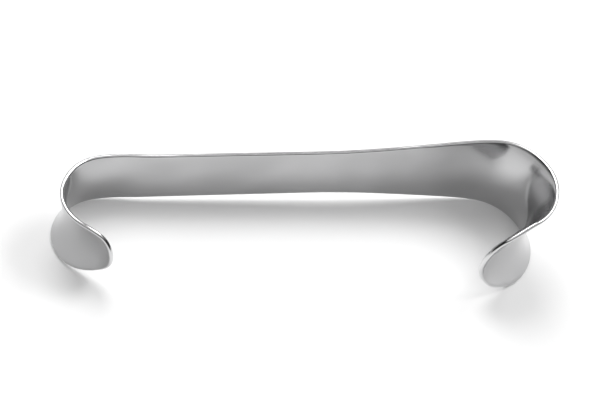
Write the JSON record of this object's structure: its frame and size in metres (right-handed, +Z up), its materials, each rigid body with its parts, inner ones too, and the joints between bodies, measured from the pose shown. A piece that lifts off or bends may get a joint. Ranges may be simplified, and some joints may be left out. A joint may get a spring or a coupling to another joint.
{
  "type": "handheld surgical retractor",
  "caption": "Double-ended hand-held retractor bent from a flat steel strip, with a large and a small hooked saddle blade.",
  "frame": {"origin": "centre of the bounding box at its base, on the surface that the retractor lies on", "axes": "+X along the handle toward the large blade, +Y toward the handle's flat back, +Z up, across the strip's width"},
  "size_m": [0.1701, 0.0442, 0.0347],
  "materials": {
    "steel": "fine satin faces with polished edges"
  },
  "bodies": {
    "root": {"retractor": "steel"}
  },
  "joints": []
}
